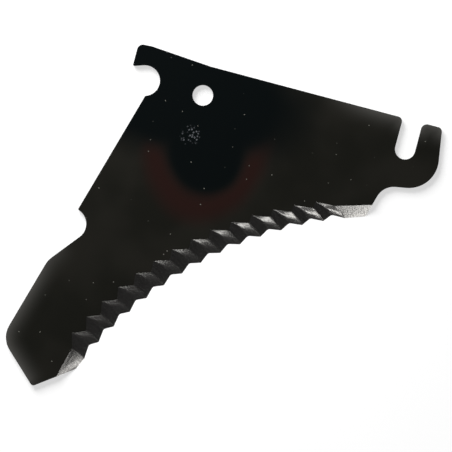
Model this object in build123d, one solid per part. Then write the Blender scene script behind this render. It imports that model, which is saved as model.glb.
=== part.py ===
from build123d import *
import math
import os

# Knife for a forage harvester or loader wagon, cut from one flat steel plate.
# The plate lies on its flat side, which is z = 0, with the ground side up. The cutting edge is
# sharp on the flat side. The origin is the centre of the pivot slot's round seat. X runs along
# the straight back, from the hook towards the arm, and Y runs from the cutting edge to the back.
# Lengths are in millimetres and angles in degrees.

# Plate, and the break of the corners all round it
thickness = 5.0
edge_break = 0.3

# Straight back, and the bend from which it climbs to the hook
back_y = 25.0
back_bend_x = -175.0
hook_back_x = -226.0
hook_rise = 3.7
hook_fall = 0.6

# Hook at the end of the back, over the round notch that seats the knife
hook_end_x = -238.0
hook_round = 5.0
hook_point_round = 1.2
notch_x = -225.2
notch_y = -0.5
notch_diameter = 25.6
notch_lead_angle = 19.0
notch_lip_round = 1.5

# Rear edge, one straight line from inside the notch to the nose
rear_top_right = 4.9
rear_top_down = 8.0
nose_x = -285.2
nose_y = -238.9
nose_round = 19.5

# Relief in the rear edge: a half round, with a straight run out towards the nose
relief_down = 128.4
relief_inset = 0.5
relief_radius = 13.5
relief_run_out = 35.7
relief_lip_round = 0.9
relief_end_round = 20.0

# Point of the knife
point_x = -250.4
point_y = -271.6
point_round = 3.0

# Arm, with the pivot slot open at the back
arm_x = 25.4
arm_corner_round = 3.8
arm_foot_x = 33.6
arm_foot_y = -26.8
arm_foot_round = 25.0
slot_width = 17.0
slot_mouth_round = 4.0
arm_mouth_round = 5.0

# Neck between the arm and the heel of the cutting edge
neck_x = -9.8
neck_y = -34.3
neck_round = 16.0

# Bolt hole
hole_diameter = 17.2
hole_x = -175.0
hole_y = 0.0

# Cutting edge on the flat side, one hollow arc from the heel to the tip
heel_x = -17.5
heel_y = -62.8
tip_x = -218.7
tip_y = -248.2
edge_radius = 327.8
grinding_stock = 4.0

# Front of the bevel on the ground side, a second arc that runs straight over the tip's land
heel_bevel = 11.1
tip_bevel = 17.8
bevel_radius = 308.4

# Serrations: grooves ground across the bevel side by side, so that they meet at crests.
# The lands are the plain lengths left at the heel and at the tip.
groove_count = 14
edge_heel_land = 17.4
edge_tip_land = 11.2
bevel_heel_land = 31.2
bevel_tip_land = 27.7
bevel_tip_land_angle = 75.9

# How deep each groove's root lies behind its arc, on the flat side and on the ground side
edge_root_depth_heel = 4.1
edge_root_depth_tip = 4.4
bevel_root_depth_heel = 5.1
bevel_root_depth_tip = 7.8

# How far back towards the heel a root lies from its crest, as a share of the pitch
edge_root_share_heel = 0.42
edge_root_share_tip = 0.60
bevel_root_share_heel = 0.14
bevel_root_share_tip = 0.50

# The wheel's path bows roots and crests sideways, and it leaves both of them rounded
root_bow = 1.6
crest_bow = 0.6
edge_root_ease = 1.6
bevel_root_ease = 0.5
edge_crest_ease = 0.3
bevel_crest_ease = 1.2
cut_past = 0.4


def towards(start, end, distance):
    """The point that lies a distance from start, in the direction of end."""
    return start + (end - start).normalized() * distance


def between(first, last, share):
    """The value that lies a share of the way from first to last."""
    return first + (last - first) * share


def turned(vector, angle):
    """A flat vector turned anticlockwise by an angle."""
    return vector.rotate(Axis.Z, angle)


# Points that the outline, the relief and the bevel share
heel_corner = Vector(heel_x, heel_y)
tip_corner = Vector(tip_x, tip_y)
neck_corner = Vector(neck_x, neck_y)
point_corner = Vector(point_x, point_y)
nose_corner = Vector(nose_x, nose_y)
notch_centre = Vector(notch_x, notch_y)
rear_top = notch_centre + Vector(rear_top_right, -rear_top_down)
rear_run = (nose_corner - rear_top).normalized()
relief_inwards = turned(rear_run, 90)
relief_centre = rear_top + rear_run * relief_down + relief_inwards * relief_inset
relief_end = rear_top + rear_run * (relief_down + relief_run_out)


def blank_outline():
    """The outline before the cut-outs, with stock along the edge for grinding to take off."""
    lead_touch = notch_centre + turned(Vector(0, notch_diameter / 2), notch_lead_angle)
    lead_drop = (lead_touch.X - hook_end_x) * math.tan(math.radians(notch_lead_angle))
    hook_back_y = back_y + hook_rise
    heel_stock = towards(heel_corner, neck_corner, -grinding_stock)
    tip_stock = towards(tip_corner, point_corner, -grinding_stock)

    rounded_corners = [
        (neck_corner, neck_round),
        (Vector(arm_foot_x, arm_foot_y), arm_foot_round),
        (Vector(arm_x, back_y), arm_corner_round),
        (Vector(back_bend_x, back_y), 0),
        (Vector(hook_back_x, hook_back_y), 0),
        (Vector(hook_end_x, hook_back_y - hook_fall), hook_round),
        (Vector(hook_end_x, lead_touch.Y - lead_drop), hook_point_round),
        (lead_touch, 0),
        (rear_top, 0),
        (nose_corner, nose_round),
        (point_corner, point_round),
    ]
    points = [heel_stock] + [corner for corner, _ in rounded_corners] + [tip_stock]
    sides = FilletPolyline(*points, radius=[radius for _, radius in rounded_corners])
    edge_side = RadiusArc(tip_stock, heel_stock, edge_radius)
    return make_face(sides.edges() + edge_side.edges())


def rear_relief():
    """The half round in the rear edge, with a wedge that runs out along its tangent."""
    reach = relief_end - relief_centre
    tangent_turn = math.degrees(math.acos(relief_radius / reach.length))
    touch = relief_centre + turned(reach.normalized() * relief_radius, tangent_turn)
    outside = relief_centre - relief_inwards * relief_radius
    wedge = make_face(Polyline(outside, touch, relief_end, close=True).edges())
    return Pos(relief_centre) * Circle(relief_radius) + wedge


def knife_profile():
    """The finished outline, apart from the ground edge."""
    slot = Circle(slot_width / 2) + Pos(0, back_y / 2) * Rectangle(slot_width, back_y)
    notch = Pos(notch_centre) * Circle(notch_diameter / 2)
    hole = Pos(hole_x, hole_y) * Circle(hole_diameter / 2)
    profile = blank_outline() - slot - notch - hole - rear_relief()

    # Each cut-out's corners are rounded, found by the point that they lie nearest to
    rounds = [
        (Vector(-slot_width / 2, back_y), slot_mouth_round),
        (Vector(slot_width / 2, back_y), arm_mouth_round),
        (rear_top, notch_lip_round),
        (relief_centre - rear_run * relief_radius, relief_lip_round),
        (relief_end, relief_end_round),
    ]
    for near_point, radius in rounds:
        corner = profile.vertices().sort_by_distance(near_point)[0]
        profile = fillet(corner, radius)
    return profile


def arc_points(arc, heel_land, tip_land, depths, shares):
    """Crests spaced evenly along an arc, and behind it the root of the groove before each."""
    pitch = (arc.length - heel_land - tip_land) / groove_count
    crests = [arc @ (heel_land / arc.length)]
    roots = []
    for number in range(groove_count):
        growth = number / max(groove_count - 1, 1)
        crest_along = heel_land + pitch * (number + 1)
        root_along = crest_along - pitch * between(*shares, growth)
        behind = turned(arc % (root_along / arc.length), -90)
        crests.append(arc @ (crest_along / arc.length))
        roots.append(arc @ (root_along / arc.length) + behind * between(*depths, growth))
    return crests, roots


def bowed(edge_point, bevel_point, bow, level):
    """A point at a height on the line from the edge up the bevel, which bows to one side."""
    share = level / thickness
    aside = turned((edge_point - bevel_point).normalized(), 90)
    flat_point = between(edge_point, bevel_point, share) + aside * bow * 4 * share * (1 - share)
    return flat_point + Vector(0, 0, level)


def eased_path(points, eases):
    """Straight edges from point to point, with a tangent arc at each point between the ends."""
    edges = []
    start = points[0]
    for before, corner, after, ease in zip(points, points[1:], points[2:], eases):
        ease_in = towards(corner, before, ease)
        ease_out = towards(corner, after, ease)
        edges.append(Line(start, ease_in))
        edges.append(TangentArc(ease_in, ease_out, tangent=corner - before))
        start = ease_out
    edges.append(Line(start, points[-1]))
    return edges


def ground_section(level):
    """The closed outline, at one height, of all that grinding takes off along the edge."""
    bevel_heel = towards(heel_corner, neck_corner, heel_bevel)
    bevel_tip = towards(tip_corner, point_corner, tip_bevel)
    bevel_tip_crest = bevel_tip + turned(Vector(bevel_tip_land, 0), bevel_tip_land_angle)
    edge_crests, edge_roots = arc_points(
        RadiusArc(heel_corner, tip_corner, -edge_radius),
        edge_heel_land,
        edge_tip_land,
        (edge_root_depth_heel, edge_root_depth_tip),
        (edge_root_share_heel, edge_root_share_tip),
    )
    bevel_crests, bevel_roots = arc_points(
        RadiusArc(bevel_heel, bevel_tip_crest, -bevel_radius),
        bevel_heel_land,
        0,
        (bevel_root_depth_heel, bevel_root_depth_tip),
        (bevel_root_share_heel, bevel_root_share_tip),
    )
    crests = [bowed(low, high, crest_bow, level) for low, high in zip(edge_crests, bevel_crests)]
    roots = [bowed(low, high, root_bow, level) for low, high in zip(edge_roots, bevel_roots)]
    heel_end = bowed(heel_corner, bevel_heel, 0, level)
    tip_end = bowed(tip_corner, bevel_tip, 0, level)
    heel_beyond = towards(heel_end, crests[0], -grinding_stock)
    tip_beyond = towards(tip_end, crests[-1], -grinding_stock)

    # Crests and roots take turns, from the plain land at the heel to the one at the tip
    share = level / thickness
    crest_ease = between(edge_crest_ease, bevel_crest_ease, share)
    root_ease = between(edge_root_ease, bevel_root_ease, share)
    zigzag = [heel_beyond, crests[0]]
    for root, crest in zip(roots, crests[1:]):
        zigzag.extend([root, crest])
    zigzag.append(tip_beyond)
    eases = [crest_ease] + [root_ease, crest_ease] * groove_count
    teeth = eased_path(zigzag, eases)

    # The far side of the section lies clear of the plate and its stock
    clear = turned((tip_beyond - heel_beyond).normalized(), 90) * (tip_bevel + grinding_stock)
    far_side = Polyline(tip_beyond, tip_beyond + clear, heel_beyond + clear, heel_beyond)
    return make_face(Curve() + teeth + far_side)


def knife_blade():
    """The plate with its corners broken, and then its serrated bevel ground."""
    plate = extrude(knife_profile(), thickness)
    flat_side = plate.faces().sort_by(Axis.Z)[0]
    ground_side = plate.faces().sort_by(Axis.Z)[-1]
    plate = chamfer(flat_side.edges() + ground_side.edges(), edge_break)
    levels = [-cut_past, thickness / 2, thickness + cut_past]
    return plate - loft([ground_section(level) for level in levels])


os.makedirs("parts", exist_ok=True)
export_step(knife_blade(), "parts/knife_blade.step")
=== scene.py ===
# %% [markdown]
# A knife for a forage harvester
# The knife is one flat steel plate. It was cut out, hardened and coated black, and then its long
# edge was ground to a bevel with a row of oblique grooves, which leaves a saw-like cutting edge.
# The imported CAD model gives the exact form. This file gives it its finish: a black lacquer with
# a little dust, a few scuffs, a painted reflection and a painted sheen at two rims, and bare ground
# steel along the edge. It also lights it.

# %% Load the frame
import math

import bmesh
import bpy
import numpy as np
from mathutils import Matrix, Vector


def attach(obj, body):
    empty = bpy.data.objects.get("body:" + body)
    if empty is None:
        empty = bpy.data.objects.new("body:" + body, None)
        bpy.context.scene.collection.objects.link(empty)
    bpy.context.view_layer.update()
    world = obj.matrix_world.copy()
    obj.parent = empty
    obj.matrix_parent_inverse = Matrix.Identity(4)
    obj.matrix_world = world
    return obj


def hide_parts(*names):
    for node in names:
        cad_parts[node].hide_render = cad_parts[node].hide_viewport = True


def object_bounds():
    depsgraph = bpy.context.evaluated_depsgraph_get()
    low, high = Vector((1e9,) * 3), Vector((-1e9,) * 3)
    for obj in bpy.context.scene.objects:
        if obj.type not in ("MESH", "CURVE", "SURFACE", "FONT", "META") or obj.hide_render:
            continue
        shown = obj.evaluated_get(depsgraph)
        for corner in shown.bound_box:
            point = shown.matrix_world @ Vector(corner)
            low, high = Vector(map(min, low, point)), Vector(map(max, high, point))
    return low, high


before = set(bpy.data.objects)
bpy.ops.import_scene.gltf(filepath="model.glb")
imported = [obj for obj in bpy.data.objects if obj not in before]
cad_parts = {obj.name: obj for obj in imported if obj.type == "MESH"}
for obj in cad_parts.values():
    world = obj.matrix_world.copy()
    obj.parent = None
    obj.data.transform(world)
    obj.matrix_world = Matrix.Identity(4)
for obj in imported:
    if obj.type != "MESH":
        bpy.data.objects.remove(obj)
cad_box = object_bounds()
scene = bpy.context.scene
scene.view_settings.view_transform = "Standard"
MM = 0.001

# %% [markdown]
# The camera
# The knife can't stand by itself, so it lies on its flat side and is seen from straight above.
# A camera close by would make the raised side larger than the side that lies on the floor. A
# long lens from far away keeps both at one scale, as in a catalogue picture. The camera is
# turned about the vertical, which leans the knife's straight back in the picture.

# %% Camera
PHOTO_SIDE_PX = 452
METRES_PER_PX = 0.8367 * MM
CAMERA_TURN = math.radians(14.91)
CAMERA_HEIGHT = 4.0
SENSOR_MM = 36.0
view_centre = Vector((-0.1282, -0.1005, 0))
picture_right = Vector((math.cos(CAMERA_TURN), math.sin(CAMERA_TURN), 0))
picture_down = Vector((math.sin(CAMERA_TURN), -math.cos(CAMERA_TURN), 0))

camera_data = bpy.data.cameras.new("camera")
camera_data.sensor_width = SENSOR_MM
camera_data.lens = SENSOR_MM * CAMERA_HEIGHT / (PHOTO_SIDE_PX * METRES_PER_PX)
camera = bpy.data.objects.new("camera", camera_data)
camera.location = view_centre + Vector((0, 0, CAMERA_HEIGHT))
camera.rotation_euler = (0, 0, CAMERA_TURN)
scene.collection.objects.link(camera)
scene.camera = camera
print("lens in mm:", round(camera_data.lens, 1))

# %% [markdown]
# Colours and nodes
# A colour is written as the hex value that a picture editor shows. Blender's sockets want linear
# light, so one function turns hex into linear. A second one adds a node with its settings and
# links, which keeps each material readable from top to bottom. An input goes by its name, or by
# its number where several share one name: a colour Mix has its two colours at 6 and 7.

# %% Helpers for colours and nodes
def linear(hex_colour):
    """An sRGB hex colour, such as 1e1d1a, as linear red, green, blue and a full alpha."""
    channels = []
    for start in (0, 2, 4):
        value = int(hex_colour[start:start + 2], 16) / 255
        if value <= 0.04045:
            channels.append(value / 12.92)
        else:
            channels.append(((value + 0.055) / 1.055) ** 2.4)
    return (*channels, 1.0)


def add_node(tree, kind, settings=None, values=None, links=None):
    """Adds a node: its settings, its input values, and links from other sockets to its inputs."""
    node = tree.nodes.new(kind)
    for name, value in (settings or {}).items():
        setattr(node, name, value)
    for name, value in (values or {}).items():
        node.inputs[name].default_value = value
    for name, socket in (links or {}).items():
        tree.links.new(socket, node.inputs[name])
    return node


def empty_material(name):
    """A new material with no nodes yet, and its node tree."""
    material = bpy.data.materials.new(name)
    material.use_nodes = True
    material.node_tree.nodes.clear()
    return material, material.node_tree


print("linear middle grey:", round(linear("777777")[0], 3))

# %% [markdown]
# The floor
# The knife lies on a plain pale floor. A floor lit to pure white would need so much light that
# the knife would wash out. So the floor is a pale diffuse board, and where the camera or a
# reflection looks at it, a glow of its own lifts it to white. The knife still shades it.

# %% Floor
FLOOR_RADIUS = 10.0
FLOOR_GLOW = 0.62

floor_mesh = bpy.data.meshes.new("floor")
floor_bm = bmesh.new()
bmesh.ops.create_circle(floor_bm, cap_ends=True, segments=96, radius=FLOOR_RADIUS)
floor_bm.to_mesh(floor_mesh)
floor_bm.free()
floor = bpy.data.objects.new("floor", floor_mesh)
scene.collection.objects.link(floor)

pale_board, tree = empty_material("pale_board")
light_path = add_node(tree, "ShaderNodeLightPath")
seen_or_mirrored = add_node(tree, "ShaderNodeMath", {"operation": "MAXIMUM"}, links={
    0: light_path.outputs["Is Camera Ray"], 1: light_path.outputs["Is Glossy Ray"]})
seen_at_all = add_node(tree, "ShaderNodeMath", {"operation": "MAXIMUM"}, links={
    0: seen_or_mirrored.outputs[0], 1: light_path.outputs["Is Transmission Ray"]})
glow = add_node(tree, "ShaderNodeMath", {"operation": "MULTIPLY"}, {1: FLOOR_GLOW}, {
    0: seen_at_all.outputs[0]})
board = add_node(tree, "ShaderNodeBsdfPrincipled", values={
    "Base Color": linear("bebebe"), "Roughness": 0.9, "Specular IOR Level": 0.1,
    "Emission Color": (1, 1, 1, 1)}, links={"Emission Strength": glow.outputs[0]})
add_node(tree, "ShaderNodeOutputMaterial", links={"Surface": board.outputs[0]})
floor_mesh.materials.append(pale_board)
print("floor radius in m:", FLOOR_RADIUS)

# %% [markdown]
# The room
# Flat glossy paint mirrors whatever is straight above it, so studios hang a black card there and
# keep the light at the sides. The room is pale near the horizon and dark overhead.

# %% Room
WALL_GLOW = 0.22
CEILING_GLOW = 0.024
WALL_TOP = math.sin(math.radians(20.5))

world = bpy.data.worlds.new("room")
world.use_nodes = True
scene.world = world
tree = world.node_tree
tree.nodes.clear()
direction = add_node(tree, "ShaderNodeTexCoord")
parts = add_node(tree, "ShaderNodeSeparateXYZ", links={0: direction.outputs["Generated"]})
wall_share = add_node(tree, "ShaderNodeMapRange", {"interpolation_type": "SMOOTHSTEP"}, {
    "From Min": 0.0, "From Max": WALL_TOP, "To Min": WALL_GLOW, "To Max": CEILING_GLOW}, {
    "Value": parts.outputs["Z"]})
sky = add_node(tree, "ShaderNodeBackground", values={"Color": (1, 1, 1, 1)}, links={
    "Strength": wall_share.outputs[0]})
add_node(tree, "ShaderNodeOutputWorld", links={"Surface": sky.outputs[0]})
print("walls end at a height of", round(math.degrees(math.asin(WALL_TOP))), "degrees")

# %% [markdown]
# The softboxes
# One large softbox stands behind the knife's back and lights it evenly. The ground flanks look
# the other way. There a far softbox shines into the flanks that face it, and a narrow level
# strip nearby shines into the plain ends of the bevel. Flanks that face neither stay dark. The
# camera looks from above. From low in front, the large softbox would mirror in the lacquer.

# %% Softboxes
def add_softbox(name, place, target, width, depth, brightness):
    """A rectangular light that faces a target. At a brightness of 1 it looks white."""
    data = bpy.data.lights.new(name, "AREA")
    data.shape = "RECTANGLE"
    data.size = width
    data.size_y = depth
    data.energy = math.pi * width * depth * brightness
    box = bpy.data.objects.new(name, data)
    box.location = place
    box.rotation_euler = (place - target).to_track_quat("Z", "Y").to_euler()
    scene.collection.objects.link(box)
    print(name, "in W:", round(data.energy, 2))
    return box


KEY_PLACE = view_centre + picture_right * -0.7 + picture_down * -1.25 + Vector((0, 0, 0.95))
FLANK_PLACE = Vector((0, -1.86, 0.9))
STRIP_PLACE = Vector((0.208, -0.609, 0.394))

add_softbox("key_softbox", KEY_PLACE, view_centre, width=1.1, depth=1.1, brightness=13)
add_softbox("flank_softbox", FLANK_PLACE, view_centre, width=0.53, depth=0.27, brightness=2.1)
strip = add_softbox("bevel_strip", STRIP_PLACE, view_centre, width=0.1, depth=0.46, brightness=2.07)
strip.rotation_euler = (0, 0, CAMERA_TURN)

# %% [markdown]
# The knife's own mesh
# The CAD mesh is a heap of loose triangles, in which every triangle has corners of its own. The
# finish needs to know where the plate ends and where the ground steel begins, so it works on a
# copy that is merged first. The form stays as it is: the copy only gets more corners, because
# a painted sheen that fades away from an edge needs corners on the way.

# %% Copy and merge the plate
MERGE_DISTANCE = 0.002 * MM
plate_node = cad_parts["knife_blade"]
knife_mesh = bpy.data.meshes.new("serrated_knife")
bm = bmesh.new()
bm.from_mesh(plate_node.data)
loose_corners = len(bm.verts)
bmesh.ops.remove_doubles(bm, verts=bm.verts, dist=MERGE_DISTANCE)
bmesh.ops.dissolve_degenerate(bm, edges=bm.edges, dist=MERGE_DISTANCE)
open_edges = [edge for edge in bm.edges if not edge.is_manifold]
print("corners:", loose_corners, "merged to", len(bm.verts), "and open edges:", len(open_edges))

# %% [markdown]
# Telling the ground steel from the lacquer
# Grinding tilted most of the bevel by 16 to 33 degrees. The plate's own faces are level or
# upright, and its broken corners lean by 45 degrees in a narrow rim. So a face's tilt says how it
# was made, and each face gets its material's number: 0 for the lacquer, 1 for the ground steel.

# %% Sort the faces by tilt
LACQUERED = 0
GROUND = 1
UP = Vector((0, 0, 1))
GROUND_TILTS = (math.radians(9), math.radians(80))
BROKEN_TILT = math.radians(45)
BROKEN_TILT_SLACK = math.radians(1.5)
BROKEN_SPAN = 0.31 * MM
LEVEL_TILT = math.radians(1)
plate_top = cad_box[1].z


def is_broken_corner(face, tilt):
    """Whether a face belongs to the narrow break of the corners, at 45 degrees all round."""
    heights = [corner.co.z for corner in face.verts]
    on_a_side = min(heights) < MERGE_DISTANCE or max(heights) > plate_top - MERGE_DISTANCE
    narrow = max(heights) - min(heights) < BROKEN_SPAN
    return on_a_side and narrow and abs(tilt - BROKEN_TILT) < BROKEN_TILT_SLACK


for face in bm.faces:
    tilt = face.normal.angle(UP)
    is_ground = GROUND_TILTS[0] < tilt < GROUND_TILTS[1] and not is_broken_corner(face, tilt)
    face.material_index = GROUND if is_ground else LACQUERED
    face.smooth = True
print("ground faces:", sum(face.material_index == GROUND for face in bm.faces), "of", len(bm.faces))

# %% [markdown]
# Sharp edges
# Smooth shading would blur the shoulder where lacquer meets ground steel, and the plate's own
# corners. Those edges are marked as sharp. Inside the ground steel nothing is, because a wheel
# leaves its crests and roots a little rounded.

# %% Mark the sharp edges
SHARP_ANGLE = math.radians(30)
for edge in bm.edges:
    first, second = edge.link_faces
    crosses = first.material_index != second.material_index
    both_lacquered = first.material_index == second.material_index == LACQUERED
    edge.smooth = not (crosses or (both_lacquered and edge.calc_face_angle() > SHARP_ANGLE))
print("sharp edges:", sum(not edge.smooth for edge in bm.edges))

# %% [markdown]
# Corners for the painted sheen
# The faces are cut into a grid by planes, coarse on the flat sides and fine on the ground steel.
# A plane cut leaves the form alone and only adds corners, where a subdivision would also touch
# the outline. On the steel it also keeps the smooth shading off long thin triangles. Each cut
# halves what is left, so a plane only meets the few faces near it.

# %% Cut grids into the faces
FLAT_STEP = 4.0 * MM
GROUND_STEP = 1.0 * MM


def cut_strips(faces, axis, low, step, count):
    """Cuts the faces across an axis, from a place on, into a count of strips one step wide."""
    if count < 2 or not faces:
        return
    middle = low + (count // 2) * step
    corners = {corner for face in faces for corner in face.verts}
    edges = {edge for face in faces for edge in face.edges}
    across = Vector((1, 0, 0)) if axis == 0 else Vector((0, 1, 0))
    cut = bmesh.ops.bisect_plane(
        bm, geom=[*corners, *edges, *faces], dist=0.01 * MM, plane_co=across * middle, plane_no=across)
    pieces = [item for item in cut["geom"] if isinstance(item, bmesh.types.BMFace)]
    before = [face for face in pieces if face.calc_center_median()[axis] < middle]
    after = [face for face in pieces if face.calc_center_median()[axis] >= middle]
    cut_strips(before, axis, low, step, count // 2)
    cut_strips(after, axis, middle, step, count - count // 2)


for axis in (0, 1):
    span = cad_box[1][axis] - cad_box[0][axis]
    for side in (UP, -UP):
        flat_side = [face for face in bm.faces if face.normal.angle(side) < LEVEL_TILT]
        cut_strips(flat_side, axis, cad_box[0][axis], FLAT_STEP, math.ceil(span / FLAT_STEP))
    bevel = [face for face in bm.faces if face.material_index == GROUND]
    cut_strips(bevel, axis, cad_box[0][axis], GROUND_STEP, math.ceil(span / GROUND_STEP))
print("faces with the grids:", len(bm.faces))

# %% [markdown]
# Room for what is measured
# A layer keeps one value for each corner of the mesh, or for each corner of a face, and a
# material can read it. Both layers are added here, because adding one spoils every list of
# corners that was made before it.

# %% Add the layers
bm.verts.layers.float.new("to_sheen_rim")
bm.loops.layers.uv.new("grain")
print("layers on the corners:", bm.verts.layers.float.keys())

# %% [markdown]
# Along the edge and behind it
# The cutting edge is one hollow arc. A place on the bevel is best told by how far along that arc
# it lies from the heel, and how far behind the edge. Both come from the arc's centre, which
# follows from its two ends and its radius.

# %% Measure along the edge
EDGE_HEEL = Vector((-17.5, -62.8))
EDGE_TIP = Vector((-218.7, -248.2))
EDGE_RADIUS = 327.8
SERRATED_FROM = 17.4
SERRATED_TO = 271.0

chord = EDGE_TIP - EDGE_HEEL
square_to_chord = Vector((-chord.y, chord.x)).normalized()
centre_reach = math.sqrt(EDGE_RADIUS ** 2 - chord.length_squared / 4)
edge_centre = (EDGE_HEEL + EDGE_TIP) / 2 + square_to_chord * centre_reach
heel_angle = math.atan2(*(EDGE_HEEL - edge_centre).yx)


def edge_coordinates(place):
    """Millimetres along the edge from the heel, and millimetres behind the edge."""
    arm = Vector(place.xy) / MM - edge_centre
    turn = (math.atan2(arm.y, arm.x) - heel_angle) % math.tau
    turn = turn - math.tau if turn > math.pi else turn
    return turn * EDGE_RADIUS, arm.length - EDGE_RADIUS


print("edge centre in mm:", [round(value, 1) for value in edge_centre])

# %% [markdown]
# How far from the sheen rims
# A painted sheen lightens the lacquer at the outer rim of the nose and at the top of the arm, and
# fades away from there. Each corner of the upper flat side keeps its distance from those rims, and the
# lacquer's material reads it.

# %% Measure the distances
FAR_AWAY = 1000.0
NOSE_FROM = (-0.255, -0.150)
ARM_TO = (-0.110, 0.020)


def is_sheen_rim(edge):
    """Whether an edge is on the rim of the nose's outer side or of the back at the arm."""
    tilts = [face.normal.angle(UP) for face in edge.link_faces]
    on_rim = min(tilts) < LEVEL_TILT and abs(max(tilts) - BROKEN_TILT) < LEVEL_TILT
    middle = (edge.verts[0].co + edge.verts[1].co) / 2
    on_nose = middle.x < NOSE_FROM[0] and middle.y < NOSE_FROM[1]
    on_arm = middle.x > ARM_TO[0] and middle.y > ARM_TO[1]
    return on_rim and (on_nose or on_arm)


def keep_distances(name, edges, corners):
    """Keeps, in mm seen from above, each corner's distance from the nearest of some edges."""
    ends = np.array([[corner.co.xy[:] for corner in edge.verts] for edge in edges]) / MM
    starts = ends[:, 0]
    runs = ends[:, 1] - starts
    # The floor keeps an edge that is upright, and so has no length from above, off a zero divide
    lengths_squared = np.maximum((runs ** 2).sum(1), 1e-9)
    layer = bm.verts.layers.float[name]
    for corner in bm.verts:
        corner[layer] = FAR_AWAY
    for corner in corners:
        reach = np.array(corner.co.xy) / MM - starts
        along = np.clip((reach * runs).sum(1) / lengths_squared, 0, 1)
        nearest = reach - runs * along[:, None]
        corner[layer] = math.sqrt((nearest ** 2).sum(1).min())


flat_faces = [face for face in bm.faces if face.normal.angle(UP) < LEVEL_TILT]
flat_corners = {corner for face in flat_faces for corner in face.verts}
sheen_rim_edges = [edge for edge in bm.edges if is_sheen_rim(edge)]
keep_distances("to_sheen_rim", sheen_rim_edges, flat_corners)
print("rubbed edges:", len(sheen_rim_edges), "corners:", len(flat_corners))

# %% [markdown]
# Which way the grinding runs
# A grinding wheel leaves fine lines. On the plain ends of the bevel they cross the edge squarely,
# and in the grooves they run along the groove, which lies askew. A UV map can bend with the edge,
# so one coordinate counts millimetres along the edge and the other counts outwards across it.

# %% Lay a UV map along the edge
LEAN_AT_HEEL = 0.52
LEAN_AT_TIP = -0.03


def grain_coordinates(place, serrated):
    """Where a place lies across the grinding lines, and along them."""
    along, behind = edge_coordinates(place)
    if serrated:
        share = (along - SERRATED_FROM) / (SERRATED_TO - SERRATED_FROM)
        along -= behind * (LEAN_AT_HEEL + (LEAN_AT_TIP - LEAN_AT_HEEL) * share)
    return along, behind


grain = bm.loops.layers.uv["grain"]
ground_faces = [face for face in bm.faces if face.material_index == GROUND]
for face in ground_faces:
    along, _ = grain_coordinates(face.calc_center_median(), True)
    serrated = SERRATED_FROM < along < SERRATED_TO
    for loop in face.loops:
        loop[grain].uv = grain_coordinates(loop.vert.co, serrated)
print("faces with grain:", len(ground_faces))

# %% [markdown]
# The finished piece
# The new mesh takes the place of the CAD node and rides on the same body. Its normals are
# weighted by the area of the faces, which keeps the large faces flat and leaves the blending to
# the small ones beside them.

# %% Make the knife
bm.to_mesh(knife_mesh)
bm.free()
knife = bpy.data.objects.new("serrated_knife", knife_mesh)
scene.collection.objects.link(knife)
weighted = knife.modifiers.new("weighted_normals", "WEIGHTED_NORMAL")
weighted.mode = "FACE_AREA"
weighted.keep_sharp = True
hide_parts("knife_blade")
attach(knife, "root")
print("knife:", len(knife_mesh.polygons), "faces")

# %% [markdown]
# Black lacquer, its tone and a painted reflection
# After hardening, the knife was sprayed with black lacquer. It is smooth, glossy and olive black.
# Painted into its colour is a reflection of a dark camera and reddish hands held above it:
# blue-black round the bolt hole and a reddish brown seam below that. Two ovals, wobbled by noise, lay
# out these fields.

# %% Tone and painted reflection of the lacquer
black_lacquer, tree = empty_material("black_lacquer_on_steel")
place = add_node(tree, "ShaderNodeTexCoord")
in_mm = add_node(tree, "ShaderNodeMapping", values={"Scale": (1000, 1000, 1000)}, links={
    "Vector": place.outputs["Object"]})

WOBBLE_MM = 14
WOBBLE_EVERY_MM = 55
wobble = add_node(tree, "ShaderNodeTexNoise", values={
    "Scale": 1 / WOBBLE_EVERY_MM, "Detail": 1.0}, links={"Vector": in_mm.outputs[0]})
wobbled = add_node(tree, "ShaderNodeVectorMath", {"operation": "MULTIPLY_ADD"}, {
    1: (WOBBLE_MM, WOBBLE_MM, 0)}, {0: wobble.outputs["Color"], 2: in_mm.outputs[0]})


def oval_distance(centre, radii):
    """A node that says how far out of an oval a place lies: 1 on its line. Sizes are in mm."""
    half_wobble = WOBBLE_MM / 2
    oval_centre = (centre[0] + half_wobble, centre[1] + half_wobble, 0)
    fitted = add_node(tree, "ShaderNodeMapping", {"vector_type": "TEXTURE"}, {
        "Location": oval_centre, "Scale": (*radii, 1000)}, {"Vector": wobbled.outputs[0]})
    return add_node(tree, "ShaderNodeVectorMath", {"operation": "LENGTH"}, links={
        0: fitted.outputs[0]})


def smooth_range(socket, start, end, first, last):
    """A node that blends smoothly from one value to another between two values of a socket."""
    return add_node(tree, "ShaderNodeMapRange", {"interpolation_type": "SMOOTHSTEP"}, {
        "From Min": start, "From Max": end, "To Min": first, "To Max": last}, {"Value": socket})


def product(first, second):
    """A node that multiplies two sockets."""
    return add_node(tree, "ShaderNodeMath", {"operation": "MULTIPLY"}, links={0: first, 1: second})


# The ovals paint a reflection into the lacquer: blue-black inside them, and a reddish brown seam round
# the middle one.
back_oval = oval_distance((-194, 0), (100, 52))
middle_oval = oval_distance((-160, -39), (34, 42))
reflection_distance = add_node(tree, "ShaderNodeMath", {"operation": "SMOOTH_MIN"}, {2: 0.25}, {
    0: back_oval.outputs["Value"], 1: middle_oval.outputs["Value"]})
outside_reflection = smooth_range(reflection_distance.outputs[0], 0.75, 1.35, 0.0, 1.0)
seam_inside = smooth_range(middle_oval.outputs["Value"], 0.85, 1.2, 0.0, 1.0)
seam_outside = smooth_range(middle_oval.outputs["Value"], 1.25, 1.75, 1.0, 0.0)
below_back = smooth_range(back_oval.outputs["Value"], 0.85, 1.15, 0.0, 1.0)
seam_ring = product(seam_inside.outputs[0], seam_outside.outputs[0])
seam = product(seam_ring.outputs[0], below_back.outputs[0])

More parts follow.
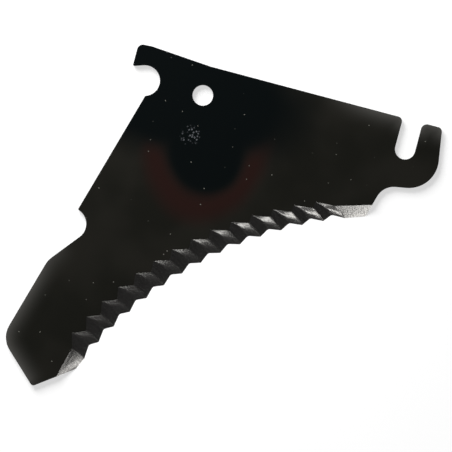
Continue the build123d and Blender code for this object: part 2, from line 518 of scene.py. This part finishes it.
OLIVE_PATCH_MM = 60
olive_noise = add_node(tree, "ShaderNodeTexNoise", values={
    "Scale": 1 / OLIVE_PATCH_MM, "Detail": 2.0}, links={"Vector": in_mm.outputs[0]})
olive_share = smooth_range(olive_noise.outputs["Fac"], 0.35, 0.65, 0.0, 1.0)
olive = add_node(tree, "ShaderNodeMix", {"data_type": "RGBA"}, {
    6: linear("181814"), 7: linear("201f1b")}, {0: olive_share.outputs[0]})
with_blue_reflection = add_node(tree, "ShaderNodeMix", {"data_type": "RGBA"}, {6: linear("050a0b")}, {
    0: outside_reflection.outputs[0], 7: olive.outputs[2]})
with_red_reflection = add_node(tree, "ShaderNodeMix", {"data_type": "RGBA"}, {7: linear("261613")}, {
    0: seam.outputs[0], 6: with_blue_reflection.outputs[2]})
print("the tints wobble by mm:", WOBBLE_MM)

# %% [markdown]
# Black lacquer, its painted sheen and its wear
# At the nose's outer rim and at the top of the arm, the lacquer's colour is painted lighter grey
# as a sheen of light caught on the edges, most at the rim itself. A little dust lies on it. Beside the
# bolt hole is a small patch of light scuffs, where this kind of knife is struck when it is marked.

# %% Painted sheen, dust and scuffs
SHEEN_WIDTH_MM = 20
NOSE_SHEEN_CENTRE = (-275, -225, 5)
ARM_SHEEN_CENTRE = (10, 20, 5)
SHEEN_REACH_MM = (35, 95)
# Painted sheen: near the rims of the nose and the arm the lacquer's colour is lighter grey, as light
# caught on the edges.
rim_distance = add_node(tree, "ShaderNodeAttribute", {"attribute_name": "to_sheen_rim"})
near_rim = add_node(tree, "ShaderNodeMapRange", values={
    "From Min": 0.0, "From Max": SHEEN_WIDTH_MM, "To Min": 1.0, "To Max": 0.0}, links={
    "Value": rim_distance.outputs["Fac"]})
near_rim_falling = add_node(tree, "ShaderNodeMath", {"operation": "POWER"}, {1: 3.0}, {
    0: near_rim.outputs[0]})
from_nose = add_node(tree, "ShaderNodeVectorMath", {"operation": "DISTANCE"}, {1: NOSE_SHEEN_CENTRE}, {
    0: in_mm.outputs[0]})
from_arm = add_node(tree, "ShaderNodeVectorMath", {"operation": "DISTANCE"}, {1: ARM_SHEEN_CENTRE}, {
    0: in_mm.outputs[0]})
from_sheen_centres = add_node(tree, "ShaderNodeMath", {"operation": "MINIMUM"}, links={
    0: from_nose.outputs["Value"], 1: from_arm.outputs["Value"]})
near_sheen_centre = smooth_range(from_sheen_centres.outputs[0], *SHEEN_REACH_MM, 1.0, 0.0)
rim_sheen = product(near_rim_falling.outputs[0], near_sheen_centre.outputs[0])
with_rim_sheen = add_node(tree, "ShaderNodeMix", {"data_type": "RGBA"}, {7: linear("4e4d4a")}, {
    0: rim_sheen.outputs[0], 6: with_red_reflection.outputs[2]})


def specks(every_mm, radius_mm, kept_share):
    """A node that is 1 inside scattered round specks and 0 elsewhere."""
    cells = add_node(tree, "ShaderNodeTexVoronoi", {"voronoi_dimensions": "2D"}, {
        "Scale": 1 / every_mm}, {"Vector": in_mm.outputs[0]})
    inside = smooth_range(
        cells.outputs["Distance"], 0.5 * radius_mm / every_mm, radius_mm / every_mm, 1.0, 0.0)
    pick = add_node(tree, "ShaderNodeSeparateColor", links={0: cells.outputs["Color"]})
    kept = smooth_range(pick.outputs[0], 1 - kept_share, 1.0, 0.0, 1.0)
    return product(inside.outputs[0], kept.outputs[0])


dust = specks(every_mm=17, radius_mm=0.6, kept_share=0.45)
with_dust = add_node(tree, "ShaderNodeMix", {"data_type": "RGBA"}, {7: linear("77766f")}, {
    0: dust.outputs[0], 6: with_rim_sheen.outputs[2]})

SCUFF_CENTRE = (-176.4, -35.0, 5)
SCUFF_RADIUS_MM = 9.5
scuffs = specks(every_mm=2.1, radius_mm=0.9, kept_share=0.6)
from_scuffs = add_node(tree, "ShaderNodeVectorMath", {"operation": "DISTANCE"}, {1: SCUFF_CENTRE}, {
    0: in_mm.outputs[0]})
scuffed = smooth_range(from_scuffs.outputs["Value"], 0.6 * SCUFF_RADIUS_MM, SCUFF_RADIUS_MM, 1.0, 0.0)
scuff_strength = product(scuffs.outputs[0], scuffed.outputs[0])
with_scuffs = add_node(tree, "ShaderNodeMix", {"data_type": "RGBA"}, {7: linear("63666a")}, {
    0: scuff_strength.outputs[0], 6: with_dust.outputs[2]})
print("scuffed patch in mm:", 2 * SCUFF_RADIUS_MM)

# %% [markdown]
# Black lacquer, its gloss
# Sprayed lacquer dries with a faint ripple that is called orange peel. It is far too shallow to
# model, so a bump gives it. It keeps the reflections in the lacquer from being as straight as
# those in glass.

# %% Gloss of the lacquer
ORANGE_PEEL_MM = 1.8
PEEL_DEPTH_MM = 0.004
peel =add_node(tree, "ShaderNodeTexNoise", values={
    "Scale": 1 / ORANGE_PEEL_MM, "Detail": 2.0}, links={"Vector": in_mm.outputs[0]})
peel_bump = add_node(tree, "ShaderNodeBump", values={
    "Strength": 1.0, "Distance": PEEL_DEPTH_MM * MM}, links={"Height": peel.outputs["Fac"]})
lacquer = add_node(tree, "ShaderNodeBsdfPrincipled", values={"Roughness": 0.22, "IOR": 1.5}, links={
    "Base Color": with_scuffs.outputs[2], "Normal": peel_bump.outputs[0]})
add_node(tree, "ShaderNodeOutputMaterial", links={"Surface": lacquer.outputs[0]})
knife_mesh.materials.append(black_lacquer)
print("orange peel in mm:", ORANGE_PEEL_MM)

# %% [markdown]
# Ground steel
# Grinding takes the lacquer off and leaves bare hardened steel. It shines, but its fine lines
# spread every reflection, so that a flank looks soft and grey and never like a mirror. The lines
# are really about a tenth of a millimetre apart. They are drawn nearly a millimetre apart, so
# that they show, and a round-grained mottle of about the same size breaks them up.

# %% Bare steel
ground_steel, tree = empty_material("ground_hardened_steel")
GRIND_LINE_MM = 0.9
GRIND_RUN_MM = 9
GRIND_DEPTH_MM = 0.012
GRIT_MM = 1.1
grain_map = add_node(tree, "ShaderNodeUVMap", {"uv_map": "grain"})
line_space = add_node(tree, "ShaderNodeMapping", values={
    "Scale": (1 / GRIND_LINE_MM, 1 / GRIND_RUN_MM, 1)}, links={"Vector": grain_map.outputs[0]})
lines = add_node(tree, "ShaderNodeTexNoise", {"noise_dimensions": "2D"}, {
    "Scale": 1.0, "Detail": 3.0}, {"Vector": line_space.outputs[0]})
grit = add_node(tree, "ShaderNodeTexNoise", {"noise_dimensions": "2D"}, {
    "Scale": 1 / GRIT_MM, "Detail": 2.0}, {"Vector": grain_map.outputs[0]})
both = add_node(tree, "ShaderNodeMath", {"operation": "ADD"}, links={
    0: lines.outputs["Fac"], 1: grit.outputs["Fac"]})
steel_tone = add_node(tree, "ShaderNodeMapRange", values={
    "From Min": 0.7, "From Max": 1.3, "To Min": 0.0, "To Max": 1.0}, links={"Value": both.outputs[0]})
steel_colour = add_node(tree, "ShaderNodeMix", {"data_type": "RGBA"}, {
    6: linear("a09e9b"), 7: linear("d6d4d0")}, {0: steel_tone.outputs[0]})
steel_bump = add_node(tree, "ShaderNodeBump", values={
    "Strength": 1.0, "Distance": GRIND_DEPTH_MM * MM}, links={"Height": both.outputs[0]})
steel = add_node(tree, "ShaderNodeBsdfPrincipled", values={
    "Metallic": 1.0, "Roughness": 0.2}, links={
    "Base Color": steel_colour.outputs[2], "Normal": steel_bump.outputs[0]})
add_node(tree, "ShaderNodeOutputMaterial", links={"Surface": steel.outputs[0]})
knife_mesh.materials.append(ground_steel)
print("materials:", [material.name for material in knife_mesh.materials])
